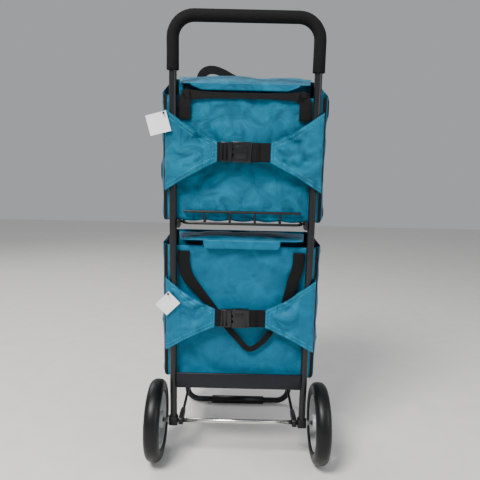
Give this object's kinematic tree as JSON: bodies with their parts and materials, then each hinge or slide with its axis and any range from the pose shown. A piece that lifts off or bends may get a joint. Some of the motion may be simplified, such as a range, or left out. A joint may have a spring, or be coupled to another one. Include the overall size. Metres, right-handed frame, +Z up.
{
  "type": "shopping trolley on wheels",
  "caption": "Two-bag shopping trolley: a bent-tube frame with a foam grip, large wheels, a folding base and shelf, lidded fabric bags, buckled wings and webbing handles.",
  "frame": {"origin": "on the floor under the middle of the trolley's box", "axes": "+Z up; -Y towards the person who pulls it, +Y towards the bags and the foot loop; X across, along the axle. The uprights lean back 3.7 degrees, to -Y."},
  "size_m": [0.4286, 0.3997, 0.9958],
  "materials": {
    "painted_tube": "satin anthracite powder coat",
    "steel": "bright drawn steel",
    "foam": "closed-cell foam, matte",
    "tyre_rubber": "smooth black rubber",
    "black_plastic": "moulded, satin",
    "grey_plastic": "moulded, satin",
    "teal_fabric": "woven coated polyester",
    "webbing": "ribbed woven webbing",
    "board": "hard fibre board",
    "card": "coated card"
  },
  "bodies": {
    "frame": {"main_tube": "painted_tube", "handle_grip": "foam", "crossbar": "painted_tube", "axle": "steel", "axle_holder_left": "black_plastic", "axle_holder_right": "black_plastic", "axle_washer_left": "steel", "axle_washer_right": "steel", "shelf_bracket_left": "painted_tube", "shelf_bracket_right": "painted_tube", "upper_bag": "teal_fabric", "lower_bag": "teal_fabric", "upper_wing_left": "teal_fabric", "upper_wing_right": "teal_fabric", "lower_wing_left": "teal_fabric", "lower_wing_right": "teal_fabric", "upper_webbing_left": "webbing", "upper_webbing_right": "webbing", "lower_webbing_left": "webbing", "lower_webbing_right": "webbing", "upper_buckle_prongs": "black_plastic", "lower_buckle_prongs": "black_plastic", "lower_rear_handle": "webbing", "upper_tag_pin": "black_plastic", "lower_tag_pin": "black_plastic"},
    "wheel_left": {"tyre_left": "tyre_rubber", "rim_left": "grey_plastic", "hub_cap_left": "black_plastic"},
    "wheel_right": {"tyre_right": "tyre_rubber", "rim_right": "grey_plastic", "hub_cap_right": "black_plastic"},
    "platform": {"lower_tray": "painted_tube", "tray_pin_left": "steel", "tray_pin_right": "steel", "foot_pin_left": "steel", "foot_pin_right": "steel", "lower_base_board": "board"},
    "strut_left": {"strut_left": "painted_tube", "strut_end_left": "black_plastic"},
    "strut_right": {"strut_right": "painted_tube", "strut_end_right": "black_plastic"},
    "foot": {"foot_loop": "painted_tube", "foot_sleeve": "tyre_rubber", "foot_plug_left": "black_plastic", "foot_plug_right": "black_plastic", "link_pin_left": "steel", "link_pin_right": "steel"},
    "shelf": {"wire_shelf": "painted_tube", "upper_base_board": "board"},
    "upper_flap": {"upper_lid": "teal_fabric"},
    "lower_flap": {"lower_lid": "teal_fabric"},
    "rear_handle": {"upper_rear_handle": "webbing"},
    "front_handle": {"upper_front_handle": "webbing"},
    "low_handle": {"lower_front_handle": "webbing"},
    "upper_socket": {"upper_buckle_socket": "black_plastic"},
    "lower_socket": {"lower_buckle_socket": "black_plastic"},
    "upper_card": {"upper_tag": "card"},
    "lower_card": {"lower_tag": "card"}
  },
  "joints": [
    {"name": "wheel_left_spin", "type": "hinge", "parent": "frame", "child": "wheel_left", "pos_m": [-0.19, -0.10697, 0.093], "axis": [1, 0, 0], "continuous": true},
    {"name": "wheel_right_spin", "type": "hinge", "parent": "frame", "child": "wheel_right", "pos_m": [0.19, -0.10697, 0.093], "axis": [1, 0, 0], "continuous": true},
    {"name": "platform_fold", "type": "hinge", "parent": "frame", "child": "platform", "pos_m": [0, -0.0811, 0.18887], "axis": [1, 0, 0], "range_deg": [0, 90], "deforming": ["lower_bag", "lower_base_board", "lower_front_handle", "lower_rear_handle"]},
    {"name": "strut_left_fold", "type": "hinge", "parent": "frame", "child": "strut_left", "pos_m": [-0.1328, -0.10697, 0.093], "axis": [1, 0, 0], "range_deg": [0, 90], "deforming": ["lower_bag"]},
    {"name": "strut_right_fold", "type": "hinge", "parent": "frame", "child": "strut_right", "pos_m": [0.1328, -0.10697, 0.093], "axis": [1, 0, 0], "range_deg": [0, 90], "deforming": ["lower_bag"]},
    {"name": "foot_fold", "type": "hinge", "parent": "platform", "child": "foot", "pos_m": [0, 0.1669, 0.19689], "axis": [1, 0, 0], "range_deg": [-90, 0], "deforming": ["lower_bag"]},
    {"name": "shelf_fold", "type": "hinge", "parent": "frame", "child": "shelf", "pos_m": [0, -0.11016, 0.56077], "axis": [1, 0, 0], "range_deg": [0, 90], "deforming": ["upper_bag", "upper_base_board"]},
    {"name": "upper_lid_open", "type": "hinge", "parent": "frame", "child": "upper_flap", "pos_m": [0, 0.06706, 0.90392], "axis": [-1, 0, 0], "range_deg": [0, 100]},
    {"name": "lower_lid_open", "type": "hinge", "parent": "frame", "child": "lower_flap", "pos_m": [0, 0.09226, 0.51423], "axis": [-1, 0, 0], "range_deg": [0, 195], "deforming": ["lower_lid"]},
    {"name": "upper_rear_handle_swing", "type": "hinge", "parent": "frame", "child": "rear_handle", "pos_m": [0, -0.14601, 0.78192], "axis": [1, 0, 0], "range_deg": [0, 75]},
    {"name": "upper_front_handle_swing", "type": "hinge", "parent": "frame", "child": "front_handle", "pos_m": [0, 0.06981, 0.84598], "axis": [-1, 0, 0], "range_deg": [0, 140]},
    {"name": "lower_front_handle_swing", "type": "hinge", "parent": "frame", "child": "low_handle", "pos_m": [0, 0.09646, 0.43384], "axis": [1, 0, 0], "range_deg": [0, 150]},
    {"name": "upper_buckle_slide", "type": "slide", "parent": "frame", "child": "upper_socket", "axis": [1, 0, 0], "range_m": [0, 0.026], "deforming": ["upper_webbing_right"]},
    {"name": "lower_buckle_slide", "type": "slide", "parent": "frame", "child": "lower_socket", "axis": [1, 0, 0], "range_m": [0, 0.026], "deforming": ["lower_webbing_right"]},
    {"name": "upper_tag_swing", "type": "hinge", "parent": "frame", "child": "upper_card", "pos_m": [-0.1665, -0.16948, 0.78842], "axis": [0, 0.9979, 0.0645], "range_deg": [-60, 60]},
    {"name": "lower_tag_swing", "type": "hinge", "parent": "frame", "child": "lower_card", "pos_m": [-0.1586, -0.1446, 0.40372], "axis": [0, 0.9979, 0.0645], "range_deg": [-60, 60]}
  ],
  "couplings": [
    {"joint": "strut_left_fold", "follows": "platform_fold", "ratio": 1},
    {"joint": "strut_right_fold", "follows": "platform_fold", "ratio": 1},
    {"joint": "foot_fold", "follows": "platform_fold", "ratio": -1}
  ]
}
